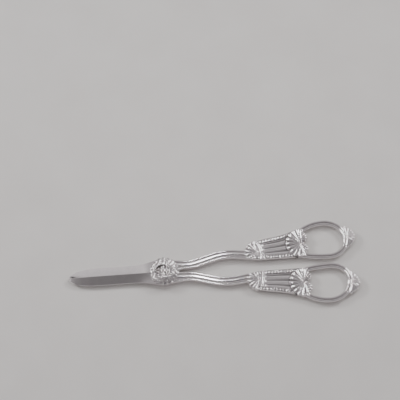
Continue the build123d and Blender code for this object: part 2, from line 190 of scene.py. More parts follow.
# The lion's face: rise, place along and across the face, and size along and across, of each soft oval
face_ovals = [
    (0.34, 2.60, 0.80, 0.95, 0.75),  # sides of the forehead
    (0.75, 2.30, 0.00, 0.75, 0.95),  # middle of the forehead
    (0.80, 1.55, 1.55, 0.55, 0.95),  # brows
    (-0.15, 1.30, 0.00, 0.60, 0.26),  # furrow between the brows
    (0.22, -2.05, 0.75, 0.30, 0.42),  # wings of the nose
    (-0.52, -2.42, 0.78, 0.13, 0.30),  # nostrils
    (1.38, -3.10, 1.22, 0.95, 1.12),  # muzzle pads
    (0.35, -2.90, 0.00, 0.60, 0.60),  # middle of the muzzle
    (1.15, -4.80, 0.00, 0.44, 1.15),  # chin
    (0.45, -0.75, 2.65, 1.05, 0.75),  # cheeks
    (-0.92, 0.55, 1.72, 0.40, 0.66),  # eye sockets
    (0.72, 0.50, 1.72, 0.26, 0.36),  # eyeballs
    (-0.24, 0.50, 1.66, 0.10, 0.10),  # pupils
]
whisker_rows = (-2.75, -3.1, -3.45)
whisker_columns = (1.15, 1.55, 1.95)

# Locks: how far they lean at the root, swing back and hook at the tip, in degrees
lock_lean = -38
lock_swing = 66
lock_hook = 82
forelock_roots = (-1.9, -0.95, 0.0, 0.95, 1.9)
forelock_reach = 5.6
forelock_levels = (3.15, 2.75)
forelock_half_width = 0.62

# Rings of the mane: number of locks, their roots' share of the face's size, reach of their tips, levels of
# root and tip over the mask's base, and half-width
mane_rings = [
    (22, 1.08, 8.45, 1.15, 0.74, 1.12),
    (19, 1.01, 7.10, 2.00, 1.45, 1.00),
    (16, 0.95, 5.95, 2.60, 2.20, 0.84),
]

# Finishes: colour where bright and in tarnish and painted shade, least and most roughness, strength of the
# scratches
# The bright colours' faint pink tint is a painted reflection of warm surroundings.
polished_finish = ((0.92, 0.885, 0.895), (0.22, 0.20, 0.20), 0.06, 0.10, 0.08)
chased_finish = ((0.93, 0.895, 0.905), (0.06, 0.052, 0.052), 0.09, 0.15, 0.12)
steel_colours = ((0.50, 0.50, 0.52), (0.36, 0.36, 0.38))
floor_colours = ((0.78, 0.76, 0.74), (0.74, 0.72, 0.70))

# Solids that stay as they are, with the bevel of their edges
steel_solids = {"back_cutting_plate": 0.04, "front_cutting_plate": 0.04, "pivot_screw": 0.06}

# Floor, in metres
floor_reach_m = 1.5
floor_drop_m = 0.00005

# Lamps: place, place that they point at, and size across and along, all in metres, and power in watts
lamps = {
    "key": ((0.60, 0.45, 0.62), (0.03, 0, 0), (0.24, 0.24), 2.4),
    "fill": ((-0.62, 0.40, 0.50), (0.03, 0, 0), (0.18, 0.18), 2.8),
    "strip": ((0.0365, 0.122, 0.387), (0.026, 0, 0.005), (0.014, 0.16), 0.22),
}

# Studio: brightness by the cosine of a direction's angle to the middle of the patch overhead
room_bands = [
    (0.00, 0.40), (0.15, 0.60), (0.24, 0.12), (0.33, 0.09), (0.41, 0.70),
    (0.62, 0.80), (0.80, 0.46), (0.92, 0.27), (0.98, 0.20), (1.00, 0.18),
]
room_strength = 0.95
room_tint = (1.0, 0.955, 0.965)
room_patch_towards = (0.10, -0.22, 0.97)

# Camera, from the photograph: where the origin lies in its frame, and its scale there
frame_px = 400
origin_px = (164.4, 273.8)
focal_px = 1300
px_per_mm = 1.6156
camera_azimuth = math.radians(-4.18)
camera_elevation = math.radians(70)
sensor_mm = 36.0


def smooth_step(value, low, high):
    """Rises smoothly from 0 at low to 1 at high."""
    t = np.clip((value - low) / (high - low), 0, 1)
    return t * t * (3 - 2 * t)


def bump(distance, width):
    """A soft bell, 1 at no distance and near 0 past two widths."""
    return np.exp(-((distance / width) ** 2))


def table(rows, value):
    """A smooth curve through the rows of a table of pairs."""
    x = np.array([row[0] for row in rows])
    y = np.array([row[1] for row in rows])
    slope = np.gradient(y, x)
    index = np.clip(np.searchsorted(x, value) - 1, 0, len(x) - 2)
    span = x[index + 1] - x[index]
    t = (value - x[index]) / span
    start = (1 + 2 * t) * (1 - t) ** 2 * y[index] + t * (1 - t) ** 2 * span * slope[index]
    end = t * t * (3 - 2 * t) * y[index + 1] + t * t * (t - 1) * span * slope[index + 1]
    return start + end


def grid_faces(rows, columns, wrap=False):
    """Quads over a grid of points stored row by row. With wrap, the last column joins the first."""
    faces = []
    for row in range(rows - 1):
        for column in range(columns if wrap else columns - 1):
            after = (column + 1) % columns
            low = row * columns
            high = low + columns
            faces.append((low + column, low + after, high + after, high + column))
    return faces


def bar_faces(rings, count):
    """Faces of a closed bar: quads between its rings of points, and a face over each end."""
    faces = grid_faces(rings, count, wrap=True)
    last = (rings - 1) * count
    return faces + [tuple(range(count))[::-1], tuple(range(last, last + count))]


def join(forms):
    """Several forms as one."""
    points = []
    faces = []
    hollows = []
    count = 0
    for form_points, form_faces, form_hollows in forms:
        points.append(form_points)
        hollows.append(form_hollows)
        faces.extend(tuple(count + index for index in face) for face in form_faces)
        count += len(form_points)
    return np.concatenate(points), faces, np.concatenate(hollows)


def mirrored(form, axis, about=0.0):
    """A form mirrored across the plane where the axis has one value."""
    points = form[0].copy()
    points[:, axis] = 2 * about - points[:, axis]
    return points, [face[::-1] for face in form[1]], form[2]


def outward(form):
    """The form with its faces turned outwards."""
    points, faces, hollows = form
    volume = 0.0
    for face in faces:
        first = points[face[0]]
        for second, third in zip(face[1:], face[2:]):
            volume += np.dot(first, np.cross(points[second], points[third]))
    return form if volume > 0 else (points, [face[::-1] for face in faces], hollows)


def new_piece(name, form, material, crease=crease_angle):
    """A smooth mesh object from a form."""
    points, faces, hollows = form
    mesh = bpy.data.meshes.new(name)
    mesh.from_pydata((points * MM).tolist(), [], faces)
    shade = mesh.attributes.new("hollow", "FLOAT", "POINT")
    shade.data.foreach_set("value", np.clip(hollows, 0, 1).astype(np.float32))
    mesh.materials.append(material)
    mesh.shade_smooth()
    mesh.set_sharp_from_angle(angle=crease)
    piece = bpy.data.objects.new(name, mesh)
    bpy.context.scene.collection.objects.link(piece)
    return piece


def stand_in(name, node, form, material, half, crease=crease_angle):
    """A piece that stands for a solid, which it hides, and rides on its half."""
    piece = new_piece(name, form, material, crease)
    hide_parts(node)
    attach(piece, half + "_half")


def place(name, node, form, material, half):
    """A piece of one half from a form for the handle on +Y."""
    if half == "front":
        form = mirrored(form, 1)
    stand_in(half + "_" + name, half + "_" + node, form, material, half)


def rounded_path(corners, radii, step):
    """Samples (x, y, heading) along straight runs joined by arcs."""
    samples = []
    place_now = np.array(corners[0], float)
    for index in range(1, len(corners)):
        corner = np.array(corners[index], float)
        before = corner - np.array(corners[index - 1], float)
        heading = math.atan2(before[1], before[0])
        radius = radii[index]
        turn = 0.0
        if radius:
            after = np.array(corners[index + 1], float) - corner
            turn = math.atan2(after[1], after[0]) - heading
        cut = radius * math.tan(abs(turn) / 2)
        stop = corner - cut * before / np.linalg.norm(before)
        run = np.linalg.norm(stop - place_now)
        for share in np.linspace(0, 1, max(2, int(run / step)), endpoint=False):
            samples.append((*(place_now + share * (stop - place_now)), heading))
        place_now = stop
        if radius:
            signed = math.copysign(radius, turn)
            centre = stop + signed * np.array([-math.sin(heading), math.cos(heading)])
            for share in np.linspace(0, 1, max(2, int(radius * abs(turn) / step)), endpoint=False):
                angle = heading + share * turn
                samples.append((*(centre + signed * np.array([math.sin(angle), -math.cos(angle)])), angle))
            last = heading + turn
            place_now = centre + signed * np.array([math.sin(last), -math.cos(last)])
    samples.append((*place_now, samples[-1][2]))
    return np.array(samples)


def arc_chain(points, step):
    """Samples (x, y, heading) along arcs that run on smoothly from point to point, level at the second."""
    first = np.array(points[1]) - np.array(points[0])
    heading = 2 * math.atan2(first[1], first[0])
    samples = []
    for start, end in zip(points, points[1:]):
        chord = np.array(end) - np.array(start)
        length = np.linalg.norm(chord)
        half_turn = (math.atan2(chord[1], chord[0]) - heading + math.pi) % (2 * math.pi) - math.pi
        radius = length / (2 * math.sin(half_turn))
        centre = np.array(start) + radius * np.array([-math.sin(heading), math.cos(heading)])
        for share in np.linspace(0, 1, max(3, int(length / step)), endpoint=False):
            angle = heading + 2 * half_turn * share
            samples.append((*(centre + radius * np.array([math.sin(angle), -math.cos(angle)])), angle))
        heading += 2 * half_turn
    samples.append((*points[-1], heading))
    return np.array(samples)


def swept(samples, ring, hollow):
    """A closed bar along samples, from one ring of (across, up) points with a hollow value for each."""
    across = np.stack([-np.sin(samples[:, 2]), np.cos(samples[:, 2])], axis=1)
    points = np.zeros((len(samples), len(ring), 3))
    points[:, :, :2] = samples[:, None, :2] + ring[None, :, :1] * across[:, None, :]
    points[:, :, 2] = joint_z + ring[None, :, 1]
    faces = [face[::-1] for face in bar_faces(len(samples), len(ring))]
    return points.reshape(-1, 3), faces, np.tile(hollow, len(samples))


def reeded_ring(width, thickness, crowns, floor_share, count=65, side_count=7):
    """A bar's section: its top is the highest of several crowns, and its bottom is alike."""
    a = np.cos(np.linspace(0, math.pi, count))
    height = np.zeros(count)
    for centre, half_width, rise in crowns:
        crown = np.sqrt(np.clip(1 - ((a - centre) / half_width) ** 2, 0, None))
        height = np.maximum(height, rise * crown)
    top = (floor_share + height) * thickness / 2
    side = np.linspace(floor_share, -floor_share, side_count)[1:-1] * thickness / 2
    x = np.concatenate([a, -np.ones(len(side)), -a, np.ones(len(side))]) * width / 2
    z = np.concatenate([top, side, -top, -side])
    return np.stack([x, z], axis=1)


def groove_share(ring, width, places, spread):
    """How near each point of a ring lies to one of its grooves."""
    share = np.abs(ring[:, 0]) / (width / 2)
    shade = np.zeros(len(ring))
    for groove in places:
        shade = np.maximum(shade, bump(share - groove, spread))
    # The share darkens the silver: painted shade, with tarnish, in the grooves.
    return shade * (np.abs(ring[:, 1]) > 0.3)


def shank_ring():
    """Section of a shank: a broad reed between two narrow ones, above and below."""
    return reeded_ring(shank_width, shank_thickness, shank_crowns, shank_floor_share)


def shank_grooves():
    """How near each point of a shank's section lies to a groove."""
    return groove_share(shank_ring(), shank_width, (shank_groove_share,), 0.05) * 0.8


def shank_form():
    """Reeded bar from the waist to the panel."""
    return swept(rounded_path(shank_corners, shank_radii, path_step), shank_ring(), shank_grooves())


def root_line(x, across_share):
    """How far out a line of the root lies at x, by its share of the way from the inner to the outer side."""
    inner = table(root_inner_rows, x)
    return inner + across_share * (table(root_outer_rows, x) - inner)


def root_form(ring, begin_radius, end_radius=None, shrink=0.0):
    """A back shank's root with a section's ring, from a round about the pivot to another or to the waist."""
    across_share = (ring[:, 0] / shank_width * (1 - shrink) + 0.5)[None]
    ends = []
    for radius in (begin_radius, end_radius):
        x = np.full_like(across_share, waist_x)
        for _ in range(25 if radius else 0):
            x = np.sqrt(np.clip(radius ** 2 - root_line(x, across_share) ** 2, 0.01, None))
        ends.append(x)
    steps = 26
    x = ends[0] + np.linspace(0, 1, steps)[:, None] * (ends[1] - ends[0])
    y = root_line(x, across_share)
    points = np.stack([x, y, joint_z + ring[None, :, 1] * (1 - shrink) + 0 * x], axis=2)
    faces = grid_faces(steps, len(ring), wrap=True)
    faces.append(tuple(range(len(ring))))
    last = (steps - 1) * len(ring)
    faces.append(tuple(range(last, last + len(ring)))[::-1])
    hollows = np.repeat(shank_grooves()[None], steps, axis=0)
    return outward((points.reshape(-1, 3), faces, hollows.reshape(-1)))


def back_root_form():
    """A back shank's root: full height up to its shoulder, and half height from there into its own plate."""
    ring = shank_ring()
    own = ring.copy()
    own[:, 1] = np.minimum(own[:, 1], -half_gap)
    inside = plate_radius - root_in_plate
    beyond = shoulder_radius + root_past_shoulder
    return join([root_form(ring, shoulder_radius), root_form(own, inside, beyond, shrink=0.004)])


def revolved(profile, sides=96):
    """A ring about the pivot's axis from a closed profile of (radius, height) points."""
    profile = np.array(profile)
    angle = 2 * math.pi * np.arange(sides)[:, None] / sides
    x = profile[None, :, 0] * np.cos(angle)
    y = profile[None, :, 0] * np.sin(angle)
    points = np.stack([x, y, profile[None, :, 1] + 0 * x], axis=2).reshape(-1, 3)
    count = len(profile)
    faces = grid_faces(sides, count, wrap=True)
    last = (sides - 1) * count
    faces += [(last + k, last + (k + 1) % count, (k + 1) % count, k) for k in range(count)]
    return outward((points, faces, np.zeros(len(points))))


def plate_form(foot_radius, *bore):
    """A lap plate as it lies in the back half, from its bore's radius at the foot and corners above it."""
    rim = [(plate_radius - plate_edge_break, 0), (plate_radius, plate_edge_break), (plate_radius, plate_top)]
    return revolved([(foot_radius, 0), *rim, *bore])


def back_plate_form():
    """The back half's lap plate, bored and countersunk for the screw."""
    bore = [(screw_hole_radius, plate_top), (screw_hole_radius, head_seat_depth), (head_seat_radius, 0.1)]
    return plate_form(head_seat_radius, *bore)


def front_plate_form():
    """The front half's lap plate, as it lies before it is turned over. The screw fills its hole."""
    return plate_form(screw_radius, (screw_radius, plate_top))


def facet(start, end):
    """Points between two corners of a blade's section, along a slightly hollow line."""
    rows = []
    for share in (0.2, 0.4, 0.6, 0.8):
        sink = math.copysign(facet_hollow * 4 * share * (1 - share), end[1])
        across = start[0] + share * (end[0] - start[0])
        rows.append((across, start[1] + share * (end[1] - start[1]) - sink))
    return rows


def blade_sizes(share):
    """Half-width, ridge and edge heights of a blade at a share of its length."""
    columns = [[(row[0], row[k]) for row in blade_rows] for k in (1, 2, 3)]
    width, ridge, edge = (float(table(rows, share)) for rows in columns)
    return width * blade_half_width, ridge * ridge_height, edge * ridge_height


def seat_depth(share):
    """Depth of the seat cut for the steel strip: next to nothing past the strip's ends."""
    inside = strip_range[0] < share * blade_length < strip_range[1]
    return strip_height + seat_clearance if inside else seat_clearance / 2


def lip_floor(share):
    """Level of the lip's lower side, which rises to the joint plane at the tip and near the pivot."""
    from_pivot = share * blade_length
    if from_pivot < lip_end:
        return half_gap
    return -lip_depth * min(1.0, (blade_length - from_pivot) / tip_fade)


def holding_ring(share):
    """L-shaped section of the front blade, as across and up from the joint plane."""
    width, ridge, edge = blade_sizes(share)
    b = min(blade_bevel, width * 0.3, edge * 0.3)
    flat = 1.2 * b
    lip_inner = width * (1 - lip_width_share)
    floor_now = lip_floor(share)
    cut = min(b, (half_gap - floor_now) * 0.4)
    seat = half_gap + seat_depth(share)
    seat_inner = max(strip_width - blade_half_width, -0.6 * width)
    left_low, left_high = (-width + b, edge), (-flat, ridge)
    right_high, right_low = (flat, ridge), (width - b, edge)
    return np.array([
        (seat_inner, half_gap),
        (seat_inner, seat),
        (-width, seat),
        (-width, edge - b),
        left_low,
        *facet(left_low, left_high),
        left_high,
        right_high,
        *[(-x, z) for x, z in facet(left_low, left_high)][::-1],
        right_low,
        (width, edge - b),
        (width, floor_now + cut),
        (width - cut, floor_now),
        (lip_inner + cut, floor_now),
        (lip_inner, floor_now + cut),
        (lip_inner, half_gap),
    ])


def cutting_ring(share):
    """Section of the back blade, under the front blade and beside its lip."""
    width, ridge, edge = blade_sizes(share)
    ridge = -ridge * cutting_ridge_share
    edge = -edge
    b = min(blade_bevel, -edge * 0.3)
    lead = width * (1 - lip_width_share) - grip_gap
    trail = -width * (1 - side_inset / blade_half_width)
    middle = (trail + lead) / 2
    seat = -half_gap - seat_depth(share)
    seat_inner = min(blade_half_width * (1 - lip_width_share) - grip_gap - strip_width, 0.6 * lead)
    return np.array([
        (trail, -half_gap),
        (trail, edge + b),
        (trail + b, edge),
        *facet((trail + b, edge), (middle - b, ridge)),
        (middle - b, ridge),
        (middle + b, ridge),
        *facet((middle + b, ridge), (lead - b, edge)),
        (lead - b, edge),
        (lead, edge + b),
        (lead, seat),
        (seat_inner, seat),
        (seat_inner, -half_gap),
    ])


def blade_form(ring_at, tip_share, heel_share=0.02, count_along=190, half_step=0.00005):
    """A blade from its sections, closer towards the tip, with two more at each end of the lip and seat."""
    shares = tip_share - (tip_share - heel_share) * np.linspace(0, 1, count_along) ** 1.15
    steps = [length / blade_length for length in (lip_end, *strip_range)]
    steps = [share + side for share in steps for side in (-half_step, half_step)]
    shares = sorted([*shares, *steps], reverse=True)
    rings = np.array([ring_at(share) for share in shares])
    count = rings.shape[1]
    x = -np.array(shares)[:, None] * blade_length + 0 * rings[:, :, 0]
    points = np.stack([x, rings[:, :, 0], joint_z + rings[:, :, 1]], axis=2).reshape(-1, 3)
    return outward((points, bar_faces(len(shares), count), np.zeros(len(points))))


def bow_form():
    """Wire with two reeds, round the finger hole."""
    ring = reeded_ring(wire_width, wire_thickness, wire_crowns, wire_floor_share)
    grooves = groove_share(ring, wire_width, (0.0,), 0.20)
    return swept(arc_chain(bow_points, path_step), ring, grooves * 0.85)


def leaf_border(along, inward):
    """Height share and hollow of the border's leaves. inward is 0 at the field and 1 at the panel's side."""
    t = np.abs((along / leaf_pitch) % 1 - 0.5)
    span = np.clip((inward - 0.30) / 0.56, 0, 1)
    half_width = 0.42 * np.sqrt(1 - span ** 2)
    before_rim = 1 - smooth_step(inward, 0.84, 0.90)
    leaf = smooth_step(half_width - t, -0.02, 0.12) * smooth_step(inward, 0.10, 0.18) * before_rim
    vein = bump(t, 0.055) * smooth_step(inward, 0.16, 0.3) * (1 - smooth_step(inward, 0.58, 0.74))
    dart = bump(t - 0.5, 0.07) * smooth_step(inward, 0.42, 0.62) * before_rim
    fillet = np.maximum(bump(inward - 0.055, 0.045), smooth_step(inward, 0.90, 0.93))
    height = np.clip(leaf * (1 - 0.55 * vein) + 0.75 * dart, 0, 1)
    height = np.maximum(height, fillet)
    # The hollow darkens the low ground between the leaves as painted shade, with tarnish.
    return height, 1 - smooth_step(height, 0.1, 0.7)


def field_flutes(share_along, share_across):
    """Depth share of the flutes in a panel's field."""
    f = np.abs((share_across * flute_count) % 1 * 2 - 1)
    hollow = np.clip(1 - (f / 0.86) ** 2, 0, 1)
    start = 0.215 + 0.05 * f * f
    return hollow * smooth_step(share_along, start, start + 0.05)


def fan_footprint(x, y, hinge, radius, footprint):
    """Where a shell covers the panel between two directions, from 0 outside to 1."""
    reach = np.hypot(x - hinge[0], y - hinge[1])
    angle = np.degrees(np.arctan2(y - hinge[1], x - hinge[0])) % 360
    inside = (angle > footprint[0]) & (angle < footprint[1])
    return inside * (1 - smooth_step(reach, radius * 0.80, radius * 0.86))


def fan_outline(x, y, hinge, radius):
    """How near a point of the panel lies to the rim of a shell that opens towards it."""
    out = np.hypot(x - hinge[0], y - hinge[1]) / radius
    return bump(out - 1.0, 0.055) * smooth_step(hinge[0] - x, 0, 1.5)


def fitted_to_shells(x, y, height, hollow):
    """A panel's height, lowered under its shells, and its hollow, with a painted shadow line beside them."""
    shells = [(bow_hinge, bow_shell_radius, bow_footprint), (neck_hinge, neck_shell_radius, neck_footprint)]
    covered = np.maximum(*[fan_footprint(x, y, *shell) for shell in shells])
    beside = np.maximum(*[fan_outline(x, y, *shell[:2]) for shell in shells])
    height = height * (1 - covered) + np.minimum(height, height_under_shell) * covered
    return height, np.maximum(hollow, 0.9 * beside)


def panel_face_grid(rows=300, band=26, field=72):
    """Grid of one face of a panel: points as (x, y, height over the joint plane) and hollows."""
    share = np.linspace(0, 1, rows)[:, None]
    draw_in = inner_side(neck_x + share * panel_length) - panel_gap
    width = panel_width * table(panel_side_shares, share) - draw_in
    inner = np.linspace(0, border_width, band)[None] * np.ones_like(width)
    field_share = np.linspace(0, 1, field)[None, 1:-1]
    middle = border_width + field_share * (width - 2 * border_width)
    outer = width - np.linspace(border_width, 0, band)[None]
    across = np.concatenate([inner, middle, outer], axis=1)
    x = neck_x + share * panel_length + 0 * across
    y = panel_gap + draw_in + across
    from_side = np.minimum(across, width - across)
    in_band = from_side <= border_width
    inward = np.clip(1 - from_side / border_width, 0, 1)
    leaf, leaf_hollow = leaf_border(x - neck_x, inward)
    plain = smooth_step(share, 0.945, 0.96)
    leaf = leaf * (1 - plain)
    leaf_hollow = leaf_hollow * (1 - plain)
    band_height = panel_half_thickness + band_rise + border_rise * leaf
    centre_share = np.clip((across - border_width) / (width - 2 * border_width), 0, 0.9999)
    flutes = field_flutes(share, centre_share)
    field_height = panel_half_thickness + field_rise - flute_depth * flutes
    height = np.where(in_band, band_height, field_height)
    # Painted shade, with tarnish, along the field's edges and in its flutes.
    field_hollow = 0.75 * bump(from_side - border_width, 0.22) + 0.25 * flutes
    hollow = np.where(in_band, leaf_hollow * 0.9, field_hollow)
    height, hollow = fitted_to_shells(x, y, height, hollow)
    edge = np.clip(panel_edge_round - from_side, 0, panel_edge_round)
    height = height - (panel_edge_round - np.sqrt(panel_edge_round ** 2 - edge ** 2))
    return np.stack([x, y, height], axis=2), hollow


def panel_form():
    """Panel with leaf borders and flutes on both faces, closed round its sides."""
    grid, hollow = panel_face_grid()
    rows, columns = hollow.shape
    top = grid.reshape(-1, 3).copy()
    low = grid.reshape(-1, 3).copy()
    top[:, 2] = joint_z + top[:, 2]
    low[:, 2] = joint_z - low[:, 2]
    count = rows * columns
    faces = [face[::-1] for face in grid_faces(rows, columns)]
    faces += [tuple(index + count for index in face) for face in grid_faces(rows, columns)]
    rim = [row * columns for row in range(rows)]
    rim += [(rows - 1) * columns + column for column in range(1, columns)]
    rim += [row * columns + columns - 1 for row in range(rows - 2, -1, -1)]
    rim += list(range(columns - 2, 0, -1))
    for here, after in zip(rim, rim[1:] + rim[:1]):
        faces.append((here, here + count, after + count, after))
    hollows = np.concatenate([hollow.reshape(-1)] * 2)
    return np.concatenate([top, low]), [face[::-1] for face in faces], hollows


def rib_samples(ribs, count, valley_reach):
    """Per direction of a fan: angle in radians, reach share and place across its rib from -1 to 1."""
    rows = []
    for index, (angle, reach) in enumerate(ribs):
        before = ribs[index - 1] if index else None
        after = ribs[index + 1] if index + 1 < len(ribs) else None
        left = (angle - before[0]) / 2 if before else (after[0] - angle) / 2
        right = (after[0] - angle) / 2 if after else left
        left_reach = valley_reach * ((reach + before[1]) / 2 if before else reach)
        right_reach = valley_reach * ((reach + after[1]) / 2 if after else reach)
        places = np.sin(np.linspace(-0.5, 0.5, count) * math.pi)
        for place_across in places if index == 0 else places[1:]:
            step = left if place_across < 0 else right
            end = left_reach if place_across < 0 else right_reach
            reach_now = reach + (end - reach) * abs(place_across) ** 3
            rows.append((math.radians(angle + place_across * step), reach_now, place_across))
    return np.array(rows)


def inner_side(x):
    """Inner side of a handle, from the shank's end along the panel."""
    drawn_out = neck_draw * (1 - smooth_step(x, neck_x, neck_x + 4.6))
    return panel_gap + drawn_out + 0.1 * np.clip(neck_x - x, 0, 3)


def fan_faces(directions, rings):
    """Faces of a fan, closed down to a rim and a foot on the joint plane."""
    faces = [face[::-1] for face in grid_faces(directions, rings)]
    first = directions * rings
    centre = first + directions
    for index in range(directions - 1):
        here = index * rings + rings - 1
        faces.append((here, first + index, first + index + 1, here + rings))
        faces.append((first + index, centre, first + index + 1))
    faces.append(tuple(range(rings)) + (first, centre))
    last = (directions - 1) * rings
    faces.append((centre, first + directions - 1) + tuple(range(last + rings - 1, last - 1, -1)))
    return faces


def fan_form(hinge, ribs, radius, crests, valleys, count=17, rings=40, valley_reach=0.91, flush=False):
    """Shell whose rounded ribs run from its hinge to a scalloped, rolled rim.

    Heights are over the joint plane. A flush shell ends at the handle's inner side.
    """
    ribs_now = rib_samples(ribs, count, valley_reach)
    angle = ribs_now[:, 0][:, None]
    reach = ribs_now[:, 1][:, None]
    if flush:
        down = np.clip(-np.sin(angle), 0.01, None)
        lowest = inner_side(hinge[0] + radius * reach * np.cos(angle)) - shell_proud
        reach = np.minimum(reach, (hinge[1] - lowest) / (radius * down))
    across = np.abs(ribs_now[:, 2])[:, None]
    out = (1 - (1 - np.linspace(0, 1, rings)) ** 1.25)[None]
    valley = (1 - np.sqrt(1 - 0.98 * across ** 2)) / (1 - math.sqrt(0.02))
    height = table(crests, out) - table(valleys, out) * valley
    height += 0.10 * bump(out - 0.93, 0.035)
    height -= 0.45 * smooth_step(out, 0.955, 1.0) ** 2
    height = np.minimum(height, shell_top)
    x = hinge[0] + radius * reach * out * np.cos(angle)
    y = hinge[1] + radius * reach * out * np.sin(angle)
    # Painted shade, with tarnish, in the valleys between the ribs, less near the rim.
    hollow = smooth_step(valley, 0.15, 0.80) * smooth_step(out, 0.08, 0.4)
    hollow = hollow * (1 - 0.6 * smooth_step(out, 0.93, 1.0))
    directions = len(ribs_now)
    top = np.stack([x, y, joint_z + height], axis=2)
    rim = top[:, -1].copy()
    rim[:, 2] = joint_z
    foot = np.array([[hinge[0], hinge[1], joint_z]])
    points = np.concatenate([top.reshape(-1, 3), rim, foot])
    hollows = np.concatenate([(hollow + 0 * x).reshape(-1), np.zeros(directions + 1)])
    return points, fan_faces(directions, rings), hollows


def knob_form(place_xy, radius, sides=24, rings=12):
    """A low rounded knob that stands on the joint plane and ends level with the shells."""
    points = []
    for ring in range(rings):
        turn = math.pi / 2 * ring / rings
        for side in range(sides):
            angle = 2 * math.pi * side / sides
            x = place_xy[0] + radius * math.cos(turn) * math.cos(angle)
            y = place_xy[1] + radius * math.cos(turn) * math.sin(angle)
            points.append((x, y, joint_z + shell_top * math.sin(turn)))
    points.append((*place_xy, joint_z + shell_top))
    faces = grid_faces(rings, sides, wrap=True)
    top = rings * sides
    last = (rings - 1) * sides
    faces += [(last + side, last + (side + 1) % sides, top) for side in range(sides)]
    faces.append(tuple(range(sides))[::-1])
    return np.array(points), faces, np.zeros(len(points))


def tube_form(path, radii, twist, flatten=0.62, sides=32, strands=7, strand_share=0.13):
    """A flattened closed tube along a path, with a radius at each point and ridges that wind along it."""
    tangent = np.gradient(path, axis=0)
    tangent /= np.linalg.norm(tangent, axis=1)[:, None]
    up = np.array([0, 0, 1.0])
    side = np.cross(tangent, up)
    side /= np.linalg.norm(side, axis=1)[:, None]
    top = np.cross(side, tangent)
    angle = 2 * math.pi * np.arange(sides) / sides
    sideways = side[:, None] * np.cos(angle)[None, :, None]
    ring = sideways + flatten * top[:, None] * np.sin(angle)[None, :, None]
    wound = angle[None] * strands + twist * np.linspace(0, 1, len(path))[:, None] * math.pi
    ridge = np.cos(wound) * strand_share
    points = (path[:, None] + (radii[:, None] * (1 + ridge))[:, :, None] * ring).reshape(-1, 3)
    # Painted shade on the tube's underside and, with tarnish, in the grooves between its ridges.
    under = smooth_step(-np.sin(angle), 0.0, 0.7)[None]
    shade = np.maximum(under, smooth_step(-ridge, 0.02, strand_share) * 0.9)
    return points, bar_faces(len(path), sides), shade.reshape(-1)


def collar_form():
    """A curved band of two beads across the panel behind the neck shell."""
    start, middle, end = (np.array(point) for point in collar_points)
    share = np.linspace(0, 1, 60)[:, None]
    bent = middle * 2 - (start + end) / 2
    line = (1 - share) ** 2 * start + 2 * share * (1 - share) * bent + share ** 2 * end
    slope = np.gradient(line, axis=0)
    samples = np.concatenate([line, np.arctan2(slope[:, 1], slope[:, 0])[:, None]], axis=1)
    beads = [(0.45, 0.5, 0.12), (-0.45, 0.5, 0.12)]
    ring = reeded_ring(collar_width, 2 * collar_height, beads, 0.88, count=41)
    ring[:, 1] = np.where(ring[:, 1] < 0, 0, ring[:, 1])
    grooves = groove_share(ring, collar_width, (0.0,), 0.15)
    return swept(samples, ring, grooves)


def neck_shell_form():
    """Small shell over the joint of shank and panel, with its collar."""
    crests = [(0, 2.15), (0.3, 2.32), (0.6, 2.38), (0.85, 2.3), (1.0, 2.05)]
    valleys = [(0, 0.05), (0.3, 0.35), (0.6, 0.62), (0.85, 0.6), (1.0, 0.35)]
    shell = fan_form(neck_hinge, neck_ribs, neck_shell_radius, crests, valleys, flush=True)
    return join([shell, collar_form(), knob_form(neck_hinge, neck_knob_radius, sides=28)])


def bow_shell_form():
    """Large shell over the panel's end, with a leafy lobe at each corner and a knob between them."""
    crests = [(0, 1.9), (0.25, 2.2), (0.55, 2.38), (0.85, 2.32), (1.0, 2.1)]
    valleys = [(0, 0.05), (0.25, 0.35), (0.55, 0.75), (0.85, 0.6), (1.0, 0.35)]
    shell = fan_form(bow_hinge, bow_ribs, bow_shell_radius, crests, valleys, flush=True)
    lobe_crests = [(0, 2.15), (0.4, 2.3), (0.75, 2.2), (1.0, 1.8)]
    lobe_valleys = [(0, 0.1), (0.4, 0.5), (0.75, 0.75), (1.0, 0.5)]
    inner_ribs = [(-angle, reach) for angle, reach in lobe_ribs[::-1]]
    forms = [shell]
    for ribs, side in ((lobe_ribs, 1), (inner_ribs, -1)):
        hinge = (lobe_hinge_x, bow_hinge[1] + side * lobe_hinge_out)
        forms.append(fan_form(hinge, ribs, lobe_radius, lobe_crests, lobe_valleys, 13, 30, 0.86))
    forms.append(knob_form(bow_knob_place, bow_knob_radius))
    return join(forms)


def end_shell_form():
    """Shell at the bow's far end, with a boss over the wire."""
    crests = [(0, 2.1), (0.3, 2.1), (0.55, 2.0), (0.85, 1.75), (1.0, 1.4)]
    valleys = [(0, 0.1), (0.3, 0.45), (0.55, 0.7), (0.85, 0.7), (1.0, 0.5)]
    shell = fan_form(end_hinge, end_ribs, end_shell_radius, crests, valleys, count=15, valley_reach=0.88)
    return join([shell, knob_form(end_hinge, end_boss_radius)])


def oval(u, v, place_u, place_v, size_u, size_v):
    """A soft oval bell at a place and at its mirror image across the face's middle line."""
    return np.exp(-(((u - place_u) / size_u) ** 2) - ((np.abs(v) - place_v) / size_v) ** 2)


